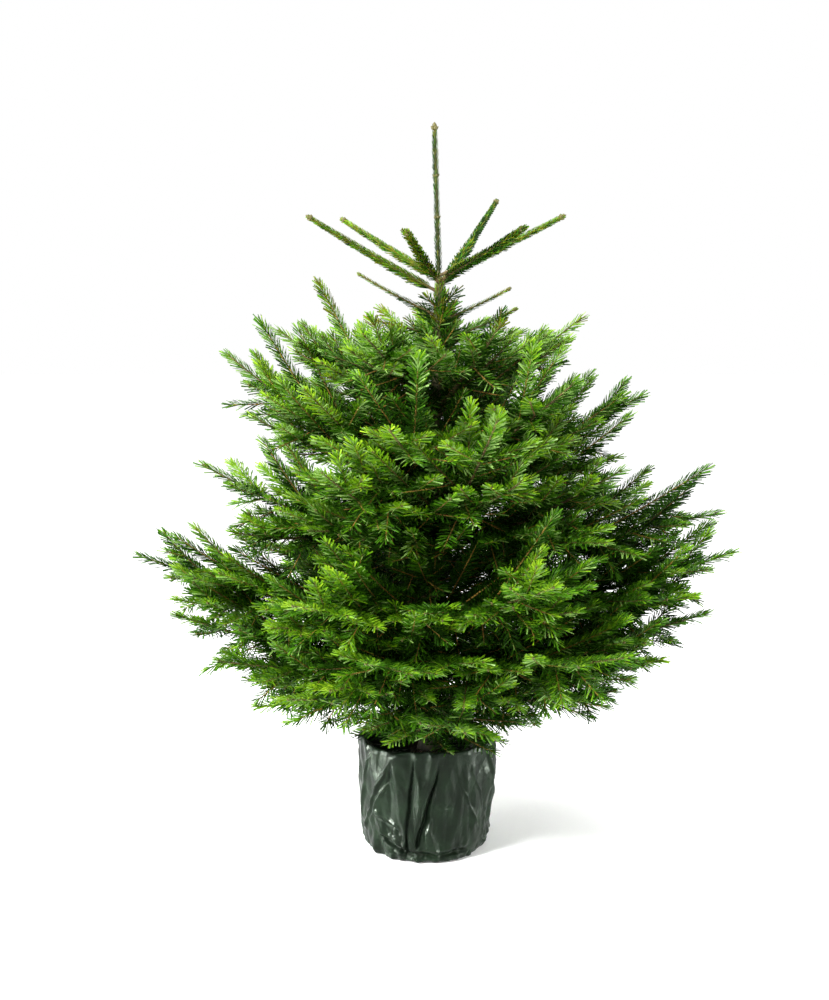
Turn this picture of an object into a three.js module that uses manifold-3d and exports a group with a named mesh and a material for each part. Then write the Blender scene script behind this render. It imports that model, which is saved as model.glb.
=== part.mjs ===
// A young Caucasian fir, about 1.2 m tall with its pot, which stands in a plastic bag.
// A bare leader tops a broad crown of tiered boughs, all round a straight and slightly leaning trunk.
// Millimetres, +Z up. The origin is the middle of the bag's flat underside, and -Y is the front.
import * as THREE from "three";
import { mergeVertices } from "three/addons/utils/BufferGeometryUtils.js";
import Module from "manifold-3d";

const wasm = await Module();
wasm.setup();

const UP = new THREE.Vector3(0, 0, 1);
const clearance = 0.35; // between one solid and the next

// Bag and compost.
const bagHeight = 195;
const bagRadius = 117;
const bagFootRadius = 88;
const bagWall = 6; // film, its folds and the pot's own wall
const bagFloor = 6;
const bagSides = 36;
const foldDepth = 2.2;
const compostHeight = 168;
const compostSides = 20;

// Trunk.
const treeHeight = 1200;
const topWhorlHeight = 948;
const leanAtTopWhorl = 18; // towards +X
const leanAtTip = 10;
const trunkFootRadius = 16;
const flareRadius = 22;
const trunkRadiusAtTopWhorl = 5.5;
const leaderRadius = 2.8;
const budRadius = 6.5;
const trunkSides = 10;

// Growth.
const shortestShoot = 102; // shorter ones are left out
const boughShare = 0.3; // of a limb, from the trunk to its foliage
const boughRootRadius = 6.8;
const boughEndRadius = 5.4;
const bareShare = 0.2; // of a limb has no side shoots
const sideRatio = 0.74; // side shoot to what is left of its limb
const sideSpread = 50; // degrees from the limb
const uprightRatio = 0.55;
const uprightForward = 0.8;
const uprightRise = 0.55;
const riseSpread = 0.22; // of a side shoot's slope, up or down
const tipCurl = 0.06; // rise of a side shoot towards its tip, by its length
const lowerTurn = 12; // degrees between a limb and the lower one that forks off it
const lowerReach = 0.88; // by its limb's reach

// Sprays.
const needleReach = 27; // each tooth of a spray stands for a cluster of needles
const needleAngle = THREE.MathUtils.degToRad(50);
const needleRise = 0.36; // by its reach
const toothPitch = 120;
const limbCore = { width: 6, height: 16, bare: 32 };
const shootCore = { width: 3.8, height: 11, bare: 14 };
const bareOnBough = 6;
const taper = 0.45; // of the core, over a shoot

// What a tier has unless it says otherwise.
const usualTier = {
  stagger: 7, // rise between limbs of one whorl
  thickness: 1, // of its cores
  years: 5,
  sag: 0.04, // by a limb's length
  lift: 0, // slope of its side shoots
  upright: 0.5, // chance of a shoot that stands up at each fork
  lowerDrop: 0, // height between the tips of a limb and of its lower limb, if it has one
  lowerFrom: 0.14, // share of the limb where the lower one forks off
  needle: 1, // by needleReach
  thinning: 0.2, // share by which needles are shorter near a tip
  boughs: false, // whether foliage starts on boughs of their own
};
const bareTwig = { stagger: 3, thickness: 0.5, years: 1, sag: 0.02, upright: 0, needle: 0.42, thinning: 0.5 };

// Each tier leaves the trunk at its root height. A limb is [degrees from +X, reach, height of its tip].
const tiers = [
  {
    name: "top", root: topWhorlHeight, years: 1, sag: 0.01, lift: 0.1, upright: 0,
    stagger: 4.5, thickness: 0.46, needle: 0.6, thinning: 0.6,
    limbs: [
      [186, 205, 1054], [150, 178, 1050], [250, 143, 1031],
      [60, 208, 1081], [357, 200, 1055], [315, 181, 1037],
    ],
  },
  { ...bareTwig, name: "left_twig", root: 905, limbs: [[184, 129, 964]] },
  { ...bareTwig, name: "right_twig", root: 896, limbs: [[350, 114, 941]] },
  {
    ...bareTwig, name: "neck", root: 862, thickness: 0.6, needle: 0.6,
    limbs: [[12, 129, 906], [195, 118, 895]],
  },
  {
    name: "second", root: 745, years: 3, sag: 0.03, lift: 0.1, upright: 0.75, thickness: 0.85, needle: 0.9,
    lowerDrop: 30,
    limbs: [
      [175, 262, 871], [239, 226, 879], [300, 190, 895],
      [13, 242, 889], [84, 273, 900],
    ],
  },
  {
    name: "third", root: 632, years: 4, lift: 0.08, upright: 0.6, lowerDrop: 95,
    limbs: [
      [180, 342, 833], [256, 300, 745], [316, 285, 805],
      [3, 339, 766], [62, 275, 755], [122, 335, 865],
    ],
  },
  {
    name: "fourth", root: 520, years: 4, lift: 0.06, upright: 0.7, boughs: true, lowerDrop: 100,
    lowerFrom: 0.34,
    limbs: [
      [184, 380, 655], [236, 310, 676], [286, 312, 762],
      [340, 312, 658], [359, 467, 572], [87, 370, 670],
    ],
  },
  {
    name: "fifth", root: 418, lift: 0.03, upright: 0.8, boughs: true, lowerDrop: 55, lowerFrom: 0.34,
    limbs: [
      [183, 485, 504], [240, 418, 496], [295, 402, 524],
      [356, 494, 512], [45, 470, 565], [120, 490, 515],
    ],
  },
  {
    name: "sixth", root: 338, lift: -0.04, upright: 0.3, lowerDrop: 60,
    limbs: [
      [193, 425, 420], [255, 389, 412], [313, 426, 406],
      [349, 450, 420], [50, 430, 420], [128, 430, 420],
    ],
  },
  {
    name: "lowest", root: 270, years: 4, sag: 0.03, lift: -0.06, upright: 0.25, thinning: 0.1,
    limbs: [
      [190, 307, 301], [233, 365, 335], [279, 314, 288],
      [328, 340, 317], [30, 340, 300], [110, 320, 290],
    ],
  },
].map((tier) => ({ ...usualTier, ...tier }));

const material = (color, roughness, metalness = 0) =>
  new THREE.MeshStandardMaterial({ color, roughness, metalness });
const bark = material(0x7a6a4a, 0.85);
const foliage = material(0x3f6b22, 0.55);
const film = material(0x2c332e, 0.3);
const compost = material(0x2b2019, 0.95);

// Solids from points

function solidFrom(points, triangles) {
  const geometry = new THREE.BufferGeometry()
    .setAttribute("position", new THREE.Float32BufferAttribute(points.flatMap((p) => p.toArray()), 3));
  geometry.setIndex(triangles);
  const merged = mergeVertices(geometry, 1e-4);
  return new wasm.Manifold(new wasm.Mesh({
    numProp: 3,
    vertProperties: merged.attributes.position.array,
    triVerts: new Uint32Array(merged.index.array),
  }));
}

// A closed body through rings of equally many points, with a flat lid on each end.
function loft(rings) {
  const points = rings.flat();
  const sides = rings[0].length;
  const triangles = [];
  for (let r = 0; r + 1 < rings.length; r++) {
    for (let s = 0; s < sides; s++) {
      const here = r * sides + s;
      const next = r * sides + ((s + 1) % sides);
      triangles.push(here, next, next + sides, here, next + sides, here + sides);
    }
  }
  const last = (rings.length - 1) * sides;
  for (let s = 1; s + 1 < sides; s++) {
    triangles.push(0, s + 1, s, last, last + s, last + s + 1);
  }
  return solidFrom(points, triangles);
}

function meshOf(solid, name, finish) {
  const { vertProperties, triVerts } = solid.getMesh();
  const geometry = new THREE.BufferGeometry()
    .setAttribute("position", new THREE.BufferAttribute(vertProperties, 3));
  geometry.setIndex(new THREE.BufferAttribute(triVerts, 1));
  geometry.computeVertexNormals();
  const mesh = new THREE.Mesh(geometry, finish);
  mesh.name = name;
  return mesh;
}

// A level ring round an axis, with its radius as a function of the angle.
function levelRing(centre, sides, radiusAt) {
  return Array.from({ length: sides }, (_, s) => {
    const angle = (s / sides) * 2 * Math.PI;
    const radius = radiusAt(angle);
    return new THREE.Vector3(
      centre.x + radius * Math.cos(angle), centre.y + radius * Math.sin(angle), centre.z);
  });
}

// Bag and compost

// The film gathers into upright folds that fade towards the flat foot.
function foldAt(angle, height) {
  const fade = THREE.MathUtils.smoothstep(height, 0, bagHeight * 0.4);
  const wide = Math.sin(7 * angle - 0.02 * height);
  const narrow = Math.sin(11 * angle + 0.012 * height);
  return foldDepth * fade * (0.4 * wide + 0.6 * narrow);
}

function bagInnerRadius(height) {
  return bagRadius - foldDepth - bagWall - 10 * (1 - height / bagHeight);
}

function bagSolid() {
  const outer = [ // [height, radius]
    [0, bagFootRadius], [7, 99], [20, 106], [50, 111], [100, 114.5], [160, bagRadius - 0.5],
    [bagHeight - 4, bagRadius], [bagHeight, bagRadius - 2.5],
  ];
  const inner = [bagHeight, bagHeight * 0.6, bagFloor + 8].map((z) => [z, bagInnerRadius(z)]);
  const lowest = [bagFloor, bagFootRadius - 4];
  const axis = (z) => new THREE.Vector3(0, 0, z);
  return loft([
    ...outer.map(([z, radius]) => levelRing(axis(z), bagSides, (angle) => radius + foldAt(angle, z))),
    ...[...inner, lowest].map(([z, radius]) => levelRing(axis(z), bagSides, () => radius)),
  ]);
}

function compostSolid() {
  const side = (z) => [z, bagInnerRadius(z) - 1];
  const rings = [
    [bagFloor + clearance, bagFootRadius - 6], side(bagFloor + 9), side(compostHeight - 5),
    [compostHeight, 84], [compostHeight, 40],
  ];
  return loft(rings.map(([z, radius]) => levelRing(new THREE.Vector3(0, 0, z), compostSides, () => radius)));
}

// Trunk

function trunkAxis(z) {
  const lean = z < topWhorlHeight
    ? leanAtTopWhorl * (z / topWhorlHeight)
    : THREE.MathUtils.mapLinear(z, topWhorlHeight, treeHeight, leanAtTopWhorl, leanAtTip);
  return new THREE.Vector3(lean, 0, z);
}

function trunkRadius(z) {
  if (z > topWhorlHeight) return leaderRadius;
  const share = (z - compostHeight) / (topWhorlHeight - compostHeight);
  return THREE.MathUtils.lerp(trunkFootRadius, trunkRadiusAtTopWhorl, share);
}

function trunkSolid(margin = 0) {
  const foot = compostHeight + clearance;
  const stations = [ // [height, radius]
    [foot, flareRadius], [foot + 10, 18.5], [foot + 26, trunkRadius(foot + 26)],
    ...[270, 338, 418, 520, 632, 745, 862].map((z) => [z, trunkRadius(z)]),
    [topWhorlHeight - 12, trunkRadius(topWhorlHeight - 12)], [topWhorlHeight, 6.2],
    [topWhorlHeight + 12, 3.4], [1050, leaderRadius], [1056, 4.4], [1064, leaderRadius],
    [1115, leaderRadius], [1122, 4.6], [1131, leaderRadius],
    [treeHeight - 18, leaderRadius], [treeHeight - 9, budRadius], [treeHeight, 1],
  ];
  return loft(stations.map(([z, radius]) => levelRing(trunkAxis(z), trunkSides, () => radius + margin)));
}

// Shoots

// Numbers that look random and are the same on every run.
function chanceFrom(seed) {
  let state = (seed * 2654435761 + 1) % 4294967296;
  const draw = () => (state = (state * 1664525 + 1013904223) % 4294967296);
  draw();
  draw();
  return (low, high) => low + ((high - low) * draw()) / 4294967296;
}

// A shoot runs along start + run * t + curl * t * t, for t from 0 to 1.
class Shoot {
  constructor({ start, run, curl, seed, tier, years = 1 }) {
    Object.assign(this, { start, run, curl, seed, tier, years });
    this.length = run.clone().add(curl).length();
    this.forks = [];
  }

  at(t) {
    return this.start.clone().addScaledVector(this.run, t).addScaledVector(this.curl, t * t);
  }

  // Forward, sideways and upwards from the shoot at t.
  frame(t) {
    const forward = this.run.clone().addScaledVector(this.curl, 2 * t).normalize();
    const side = forward.clone().cross(UP).normalize();
    return { forward, side, above: side.clone().cross(forward) };
  }

  // A section's point at t, so far to the side and above.
  offset(t, across, up) {
    const { side, above } = this.frame(t);
    return this.at(t).addScaledVector(side, across).addScaledVector(above, up);
  }

  fork(t, direction, length, seed) {
    this.forks.push(t);
    const run = direction.normalize().multiplyScalar(length);
    const curl = UP.clone().multiplyScalar(length * tipCurl);
    return new Shoot({ start: this.at(t), run, curl, seed, tier: this.tier });
  }
}

// A limb sags a little below the straight line to its tip.
function limbTo(start, [azimuth, reach, tipHeight], years, seed, tier) {
  const angle = THREE.MathUtils.degToRad(azimuth);
  const outward = new THREE.Vector3(Math.cos(angle), Math.sin(angle), 0);
  const straight = trunkAxis(tipHeight).addScaledVector(outward, reach).sub(start);
  const drop = UP.clone().multiplyScalar(4 * tier.sag * straight.length());
  return new Shoot({ start, run: straight.sub(drop), curl: drop, seed, tier, years });
}

// A limb leaves the trunk at its tier's root, a little higher or lower than the limbs beside it.
function limbOf(tier, index, seed) {
  const start = trunkAxis(tier.root + tier.stagger * (((index * 5) % 7) - 3));
  return limbTo(start, tier.limbs[index], tier.years, seed, tier);
}

// The lower limb turns away from its limb to the left or right by turns, and ends below it.
function lowerLimbOf(limb, index) {
  const { tier } = limb;
  const [azimuth, reach, tipHeight] = tier.limbs[index];
  const turned = azimuth + (index % 2 ? -lowerTurn : lowerTurn);
  limb.forks.push(tier.lowerFrom);
  const tip = [turned, reach * lowerReach, tipHeight - tier.lowerDrop];
  return limbTo(limb.at(tier.lowerFrom), tip, tier.years - 1, limb.seed + 2, tier);
}

// Each year's growth ends in a pair of side shoots, and some forks also send one up from the spray.
function sideShoots(limb) {
  const { lift, upright } = limb.tier;
  const chance = chanceFrom(limb.seed);
  const found = [];
  for (let year = 1; year < limb.years; year++) {
    const t = year / limb.years + chance(-0.03, 0.03);
    const { forward, side } = limb.frame(t);
    const rest = (1 - t) * limb.length;
    const seed = (limb.seed * 37 + year * 5) % 1000003;
    for (const hand of [1, -1]) {
      const length = rest * sideRatio * chance(0.88, 1.12) + 8;
      const angle = THREE.MathUtils.degToRad(sideSpread + chance(-6, 6));
      const direction = forward.clone().multiplyScalar(Math.cos(angle))
        .addScaledVector(side, hand * Math.sin(angle))
        .addScaledVector(UP, lift + chance(-riseSpread, riseSpread));
      if (length >= shortestShoot && t > bareShare) found.push(limb.fork(t, direction, length, seed + hand));
    }
    const stands = chance(0, 1) < upright && t > 0.35;
    const length = rest * uprightRatio * chance(0.85, 1.15) + 28;
    const direction = forward.clone().multiplyScalar(uprightForward)
      .addScaledVector(UP, uprightRise).addScaledVector(side, chance(-0.25, 0.25));
    if (stands && length >= shortestShoot) found.push(limb.fork(t, direction, length, seed + 3));
  }
  return found;
}

// Sprays

// Needles thin out along the newest growth.
function needleAt(shoot, t) {
  const full = needleReach * shoot.tier.needle;
  return full * (1 - shoot.tier.thinning * THREE.MathUtils.smoothstep(t, 0.35, 0.8));
}

// A spray is a ridged blade with a toothed outline: a ridge above, a flat underside and teeth on both sides.
// It starts at the share `from` of its shoot. It has no teeth over the core's bare length or where it forks.
function sprayBlade(shoot, from, core) {
  const bareTo = from + core.bare / shoot.length;
  const toothed = 1 - bareTo;
  const teeth = Math.max(1, Math.round((toothed * shoot.length) / toothPitch));
  const stations = [from];
  for (let i = 0; i <= teeth; i++) stations.push(bareTo + (toothed * i) / (teeth + 0.35));

  const points = [];
  const triangles = [];
  const add = (point) => points.push(point) - 1;
  const sections = stations.map((t) => {
    const width = core.width * (1 - taper * t);
    const height = core.height * (1 - taper * t);
    return {
      ridge: add(shoot.offset(t, 0, (2 * height) / 3)),
      right: add(shoot.offset(t, width, -height / 3)),
      left: add(shoot.offset(t, -width, -height / 3)),
    };
  });
  for (let i = 0; i + 1 < sections.length; i++) {
    const a = sections[i];
    const b = sections[i + 1];
    triangles.push(a.right, a.left, b.left, a.right, b.left, b.right);
    const forks = shoot.forks.some((t) => t > stations[i] && t <= stations[i + 1]);
    if (i === 0 || forks) {
      triangles.push(a.ridge, a.right, b.right, a.ridge, b.right, b.ridge);
      triangles.push(a.left, a.ridge, b.ridge, a.left, b.ridge, b.left);
      continue;
    }
    const t = (stations[i] + stations[i + 1]) / 2;
    const { forward } = shoot.frame(t);
    const reach = needleAt(shoot, t);
    const out = reach * Math.sin(needleAngle);
    const tooth = (hand) => add(shoot.offset(t, hand * out, needleRise * reach)
      .addScaledVector(forward, reach * Math.cos(needleAngle)));
    const right = tooth(1);
    const left = tooth(-1);
    triangles.push(a.ridge, a.right, right, right, a.right, b.right);
    triangles.push(right, b.right, b.ridge, a.ridge, right, b.ridge);
    triangles.push(a.left, a.ridge, left, left, a.ridge, b.ridge);
    triangles.push(left, b.ridge, b.left, a.left, left, b.left);
  }
  const first = sections[0];
  const last = sections.at(-1);
  const tip = add(shoot.at(1));
  triangles.push(first.right, first.ridge, first.left);
  triangles.push(last.ridge, last.right, tip, last.left, last.ridge, tip, last.right, last.left, tip);
  return solidFrom(points, triangles);
}

function boughSolid(limb) {
  const sides = 6;
  return loft([0, 0.5, 1].map((share) => {
    const radius = THREE.MathUtils.lerp(boughRootRadius, boughEndRadius, share);
    return Array.from({ length: sides }, (_, s) => {
      const angle = (s / sides) * 2 * Math.PI;
      return limb.offset(share * boughShare, -radius * Math.cos(angle), radius * Math.sin(angle));
    });
  }));
}

// The whole tree

function boxesMeet(a, b) {
  const [boxA, boxB] = [a.boundingBox(), b.boundingBox()];
  return [0, 1, 2].every((axis) =>
    boxA.min[axis] < boxB.max[axis] + clearance && boxB.min[axis] < boxA.max[axis] + clearance);
}

const clears = (solid, others) =>
  others.every((other) => !boxesMeet(solid, other) || solid.minGap(other, 1) > clearance);

const tree = new THREE.Group();
const trunk = trunkSolid();
const trunkAndGap = trunkSolid(clearance);
const bag = bagSolid();
tree.add(meshOf(bag, "pot_bag", film));
tree.add(meshOf(compostSolid(), "compost", compost));
tree.add(meshOf(trunk, "trunk", bark));

// Every limb has its bough and its main blade first. Then the lower limbs and the side shoots take the room
// that is left, each with the shoots that it bears.
const masses = [];
const woody = [trunk, bag];
let seed = 11;
for (const tier of tiers) {
  tier.limbs.forEach((_, index) => {
    seed += 7;
    const limb = limbOf(tier, index, seed);
    const shoots = sideShoots(limb);
    const lower = tier.lowerDrop ? lowerLimbOf(limb, index) : null;
    const label = tier.limbs.length > 1 ? `${tier.name}_${index + 1}` : tier.name;
    const core = {
      width: limbCore.width * tier.thickness,
      height: limbCore.height * tier.thickness,
      bare: tier.boughs ? bareOnBough : limbCore.bare,
    };
    if (tier.boughs) {
      const bough = boughSolid(limb).subtract(trunkAndGap);
      woody.push(bough);
      tree.add(meshOf(bough, `bough_${label}`, bark));
    }
    const main = tier.boughs
      ? sprayBlade(limb, boughShare + clearance / limb.length, core)
      : sprayBlade(limb, 0, core).subtract(trunkAndGap);
    masses.push({ name: `spray_${label}`, shoots, lower, blades: [main] });
  });
}

// Adds a shoot's blade to its mass if it has room there, and says whether it had.
function addBlade(mass, shoot, core) {
  const others = masses.filter((other) => other !== mass).flatMap((other) => other.blades);
  const blade = sprayBlade(shoot, 0, core);
  const fits = clears(blade, [...woody, ...others]);
  if (fits) mass.blades.push(blade);
  return fits;
}
for (const mass of masses) {
  if (!mass.lower) continue;
  const shoots = sideShoots(mass.lower);
  if (addBlade(mass, mass.lower, shootCore)) mass.shoots.push(...shoots);
}
for (const mass of masses) {
  for (const shoot of mass.shoots) addBlade(mass, shoot, shootCore);
}
for (const { name, blades } of masses) tree.add(meshOf(wasm.Manifold.union(blades), name, foliage));

export default tree;
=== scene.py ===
import bpy
import numpy as np
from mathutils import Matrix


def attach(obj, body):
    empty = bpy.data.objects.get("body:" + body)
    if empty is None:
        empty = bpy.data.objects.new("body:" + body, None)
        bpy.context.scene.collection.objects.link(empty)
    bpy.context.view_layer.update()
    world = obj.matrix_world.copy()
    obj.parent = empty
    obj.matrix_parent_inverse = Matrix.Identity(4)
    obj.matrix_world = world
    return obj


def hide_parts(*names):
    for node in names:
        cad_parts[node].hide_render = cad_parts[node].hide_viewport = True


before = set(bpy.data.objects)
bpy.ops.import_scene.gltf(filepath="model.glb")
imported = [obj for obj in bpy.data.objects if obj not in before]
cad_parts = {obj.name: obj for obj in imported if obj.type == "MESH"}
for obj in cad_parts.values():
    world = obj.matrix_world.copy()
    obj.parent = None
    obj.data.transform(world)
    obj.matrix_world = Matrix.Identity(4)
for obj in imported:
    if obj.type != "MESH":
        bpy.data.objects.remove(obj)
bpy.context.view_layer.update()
mm = 0.001  # the growth rule counts in millimetres, and Blender in metres
up = np.array([0.0, 0.0, 1.0])
print("frame:", len(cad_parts), "solids")


# Camera, floor and light

studio = {
    "camera": (-0.022, -2.8, 1.05),
    "tiltDown": 9.27,  # degrees
    "lens": 61.7,
    "floor": "#ffffff",
    "floorReach": 9,
    "surroundings": 1.0,
}
# Each light's watts, size, place and target, and how wide its beam is in degrees.
lights = {
    "key light": (270.0, 0.8, (-2.1, -2.3, 2.6), (0, 0, 0.6), 180),  # high on the left in front
    "fill light": (4.0, 1.6, (1.9, -2.0, 0.9), (0, 0, 0.6), 180),  # low on the right in front
    "top light": (55.0, 1.5, (0.2, 0.3, 3.0), (0, 0, 0.6), 180),
    "left light": (50.0, 0.7, (-2.3, -0.9, 0.55), (0, 0, 0.2), 180),  # low on both sides
    "right light": (35.0, 0.7, (2.3, -0.5, 0.6), (0, 0, 0.2), 180),
    # Narrow beams along the floor give the film its sheen.
    "film light": (1.7, 0.25, (-1.95, -0.3, 0.14), (0, 0, 0.09), 14),
    "far film light": (0.6, 0.25, (1.9, -0.45, 0.14), (0, 0, 0.09), 14),
}


def linearColour(hexColour):
    # Each sRGB channel c turns linear: c / 12.92 when small, else ((c + 0.055) / 1.055) to the power 2.4.
    channels = np.array([int(hexColour[i:i + 2], 16) / 255 for i in (1, 3, 5)])
    linear = np.where(channels < 0.04045, channels / 12.92, ((channels + 0.055) / 1.055) ** 2.4)
    return (*linear.tolist(), 1.0)


def addNode(tree, kind, inputs=None, **settings):
    # Adds a shader node. An input takes a value, or another node's output that it is then linked to.
    node = tree.nodes.new("ShaderNode" + kind)
    for name, value in settings.items():
        setattr(node, name, value)
    for name, value in (inputs or {}).items():
        if isinstance(value, bpy.types.NodeSocket):
            tree.links.new(value, node.inputs[name])
        else:
            node.inputs[name].default_value = value
    return node


def newMaterial(name, settings):
    # A material with its node tree, its shader, and the object coordinates that patterns are placed by.
    material = bpy.data.materials.new(name)
    material.use_nodes = True
    tree = material.node_tree
    shader = tree.nodes["Principled BSDF"]
    for socket, value in settings.items():
        shader.inputs[socket].default_value = value
    place = addNode(tree, "TexCoord").outputs["Object"]
    return material, tree, shader, place


def mottle(tree, place, shader, patch, detail, dark, light, limits):
    # Base colour in patches so many millimetres across: dark where noise is below the limits, light above.
    noise = addNode(tree, "TexNoise", {"Vector": place, "Scale": 1 / (patch * mm), "Detail": detail})
    ramp = addNode(tree, "ValToRGB", {"Fac": noise.outputs["Fac"]})
    for element, position, colour in zip(ramp.color_ramp.elements, limits, (dark, light)):
        element.position = position
        element.color = linearColour(colour)
    tree.links.new(ramp.outputs["Color"], shader.inputs["Base Color"])
    return ramp.outputs["Color"]


def addLight(name, watts, size, location, target, beam):
    # A square lamp that faces its target, with the yaw and pitch of the line between them.
    light = bpy.data.lights.new(name, "AREA")
    light.energy = watts
    light.size = size
    light.spread = np.radians(beam)
    lamp = bpy.data.objects.new(name, light)
    lamp.location = location
    away = np.array(location) - np.array(target)
    yaw = np.arctan2(away[0], -away[1])
    pitch = np.arctan2(np.hypot(away[0], away[1]), away[2])
    lamp.rotation_euler = (pitch, 0, yaw)
    bpy.context.scene.collection.objects.link(lamp)


def makeStudio():
    # A camera, a floor, even light from all round, and the lamps.
    lens = bpy.data.cameras.new("camera")
    lens.lens = studio["lens"]
    camera = bpy.data.objects.new("camera", lens)
    camera.location = studio["camera"]
    camera.rotation_euler = (np.radians(90 - studio["tiltDown"]), 0, 0)
    bpy.context.scene.collection.objects.link(camera)
    bpy.context.scene.camera = camera

    floorMesh = bpy.data.meshes.new("floor")
    far = studio["floorReach"]
    corners = [(-far, -far, 0), (far, -far, 0), (far, far, 0), (-far, far, 0)]
    floorMesh.from_pydata(corners, [], [(0, 1, 2, 3)])
    floor = bpy.data.objects.new("floor", floorMesh)
    bpy.context.scene.collection.objects.link(floor)
    paper = {"Base Color": linearColour(studio["floor"]), "Roughness": 0.9}
    floorMesh.materials.append(newMaterial("paper backdrop, matt and almost white", paper)[0])

    world = bpy.data.worlds.new("studio")
    world.use_nodes = True
    background = world.node_tree.nodes["Background"]
    background.inputs["Color"].default_value = (1, 1, 1, 1)
    background.inputs["Strength"].default_value = studio["surroundings"]
    bpy.context.scene.world = world
    bpy.context.scene.view_settings.view_transform = "Standard"

    for name, values in lights.items():
        addLight(name, *values)


makeStudio()
print("studio ready")


# Surfaces from arrays

def makePiece(name, points, faces, material, slot, smooth=True):
    # points are in millimetres. faces are arrays of corner numbers, anticlockwise as seen from outside.
    mesh = bpy.data.meshes.new(name)
    points = points.reshape(-1, 3) * mm
    mesh.vertices.add(len(points))
    mesh.vertices.foreach_set("co", points.astype(np.float32).ravel())
    corners = np.concatenate([f.ravel() for f in faces]).astype(np.int32)
    sizes = np.concatenate([np.full(len(f), f.shape[1]) for f in faces])
    mesh.loops.add(len(corners))
    mesh.loops.foreach_set("vertex_index", corners)
    mesh.polygons.add(len(sizes))
    mesh.polygons.foreach_set("loop_start", (np.cumsum(sizes) - sizes).astype(np.int32))
    mesh.polygons.foreach_set("use_smooth", np.full(len(sizes), smooth))
    mesh.update(calc_edges=True)
    mesh.materials.append(material)
    piece = bpy.data.objects.new(name, mesh)
    bpy.context.scene.collection.objects.link(piece)
    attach(piece, "root")
    return piece


def closedTubes(rings, sides, bodies=1):
    # Quads between neighbouring rings, and fans over each body's first and last, for bodies in one array.
    ring, side, body = np.ogrid[:rings - 1, :sides, :bodies]
    here = body * rings * sides + ring * sides + side
    beside = body * rings * sides + ring * sides + (side + 1) % sides
    quads = np.stack([here, beside, beside + sides, here + sides], axis=-1).reshape(-1, 4)
    side, body = np.mgrid[1:sides - 1, :bodies]
    first = body * rings * sides
    last = first + (rings - 1) * sides
    start = np.stack([first, first + side + 1, first + side], axis=-1)
    end = np.stack([last, last + side, last + side + 1], axis=-1)
    return [quads, np.concatenate([start, end]).reshape(-1, 3)]


def unit(vectors):
    # Each vector divided by its length.
    return vectors / np.maximum(np.linalg.norm(vectors, axis=-1, keepdims=True), 1e-9)


def softNoise(points, seed=0):
    # Blends values that belong to the corners of a unit lattice, with eased weights, into -1 to 1.
    cell = np.floor(points).astype(np.int64)
    part = points - cell
    ease = part * part * (3 - 2 * part)
    total = 0
    for corner in np.ndindex(2, 2, 2):
        x, y, z = np.moveaxis(cell + np.array(corner), -1, 0)
        mixed = (x * 73856093 ^ y * 19349663 ^ z * 83492791 ^ (seed + 1) * 40503) & 0xFFFFFFFF
        mixed = ((mixed ^ (mixed >> 13)) * 1274126177) & 0xFFFFFFFF
        value = ((mixed ^ (mixed >> 16)) & 0xFFFF) / 32767.5 - 1
        total = total + value * np.prod(np.where(corner, ease, 1 - ease), axis=-1)
    return total


def easeBetween(low, high, values):
    # 0 below low, 1 above high, and 3 x^2 - 2 x^3 between them.
    x = np.clip((values - low) / (high - low), 0, 1)
    return x * x * (3 - 2 * x)


# Growth, by the same rule and numbers as the solids, carried on to finer shoots

growth = {
    "height": 1200,
    "topWhorl": 948,
    "neckFoot": 845,
    "leaderTip": 1196,
    "leanAtTopWhorl": 18,
    "leanAtTip": 10,
    "yearOfGrowth": 125,  # of side shoots, between their own forks
    "shortestShoot": 34,
    "finestOrder": 3,
    "bareShare": 0.2,
    "forkShift": 0.03,  # share of the parent, either way from the end of each year's growth
    "sideRatio": [0.74, 0.6, 0.55],  # side shoot to what is left of its parent, by order
    "sideScatter": (0.88, 1.12),
    "sideExtra": 8,
    "sideSpread": [50, 47, 45],  # degrees
    "sideTurn": 6,  # degrees more or less
    "riseSpread": 0.22,
    "uprightFrom": 0.35,
    "uprightRatio": 0.55,
    "uprightScatter": (0.85, 1.15),
    "uprightExtra": 28,
    "uprightForward": 0.8,
    "uprightRise": 0.55,
    "uprightTurn": 0.25,
    "tipCurl": 0.06,
    "lowerTurn": 12,  # degrees between a limb and the lower one that forks off it
    "lowerReach": 0.88,
}
# Finer twigs between the forks
between = {
    "spacing": 94,
    "onLimb": 2.6,  # times as many
    "reach": 0.75,  # share of the parent along which they stand
    "turn": 1.5,  # radians either way from straight down
    "ratio": 0.6,
    "scatter": (0.7, 1.2),
    "extra": 14,
    "longest": (75, 125),
    "angle": (42, 62),  # degrees from the parent
    "lowestTip": 212,
    "lowestTipRun": 7,  # millimetres farther out for each one higher
}
# Long single shoots on the limbs
plume = {
    "reach": 0.62,
    "turn": 1.2,  # radians either way from straight up
    "ratio": 0.8,
    "extra": 46,
    "longest": (125, 200),
    "angle": (22, 40),
}
# Short twigs on the trunk: slopes in degrees and lengths are given in pairs with a height.
trunkTwigs = {
    "count": 132,
    "lowest": 192,
    "highest": 915,
    "crowding": 1.3,  # the power that packs them closer lower down
    "goldenAngle": 137.508,
    "turn": 20,
    "slope": [(192, -2), (220, -8), (270, 12), (700, 36), (868, 48), (915, 34)],
    "tilt": 5,
    "length": [(192, 116), (270, 190), (420, 225), (600, 235), (700, 140), (868, 46), (915, 36)],
    "scatter": (0.75, 1.15),
}

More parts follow.
